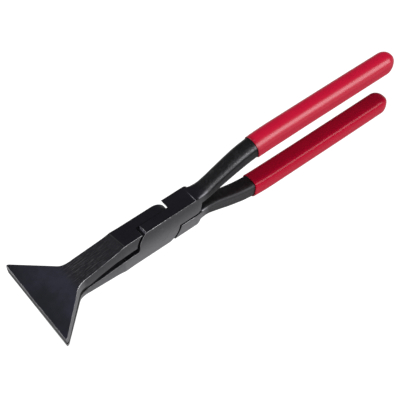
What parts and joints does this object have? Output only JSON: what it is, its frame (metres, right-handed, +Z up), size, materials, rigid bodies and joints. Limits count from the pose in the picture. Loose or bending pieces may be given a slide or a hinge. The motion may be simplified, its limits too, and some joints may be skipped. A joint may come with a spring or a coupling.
{
  "type": "sheet metal seaming pliers",
  "caption": "Hand seaming pliers with a broad flat fan jaw, lap joint with flush rivet and dipped vinyl grips, for folding sheet metal seams.",
  "frame": {"origin": "middle of the tool's length, width and height with the jaws closed, so it lies on the plane on which the jaws meet", "axes": "+X runs along the tool from the jaws to the handle ends, +Y is the line of the rivet, +Z is up when the fan jaw lies flat, as in the picture"},
  "size_m": [0.2656, 0.0596, 0.0522],
  "materials": {
    "forged_steel": "black oxide over forged and ground steel, satin, worn bright on the edges",
    "rivet_steel": "ground flush and blackened with the joint",
    "dipped_vinyl": "smooth glossy dip-moulded vinyl"
  },
  "bodies": {
    "upper_jaw_body": {"upper_jaw_half": "forged_steel", "pivot_rivet": "rivet_steel", "lower_grip": "dipped_vinyl"},
    "lower_jaw_body": {"lower_jaw_half": "forged_steel", "upper_grip": "dipped_vinyl"}
  },
  "joints": [
    {"name": "jaw_hinge", "type": "hinge", "parent": "upper_jaw_body", "child": "lower_jaw_body", "pos_m": [-0.0536, 0, 0], "axis": [0, -1, 0], "range_deg": [0, 35]}
  ]
}
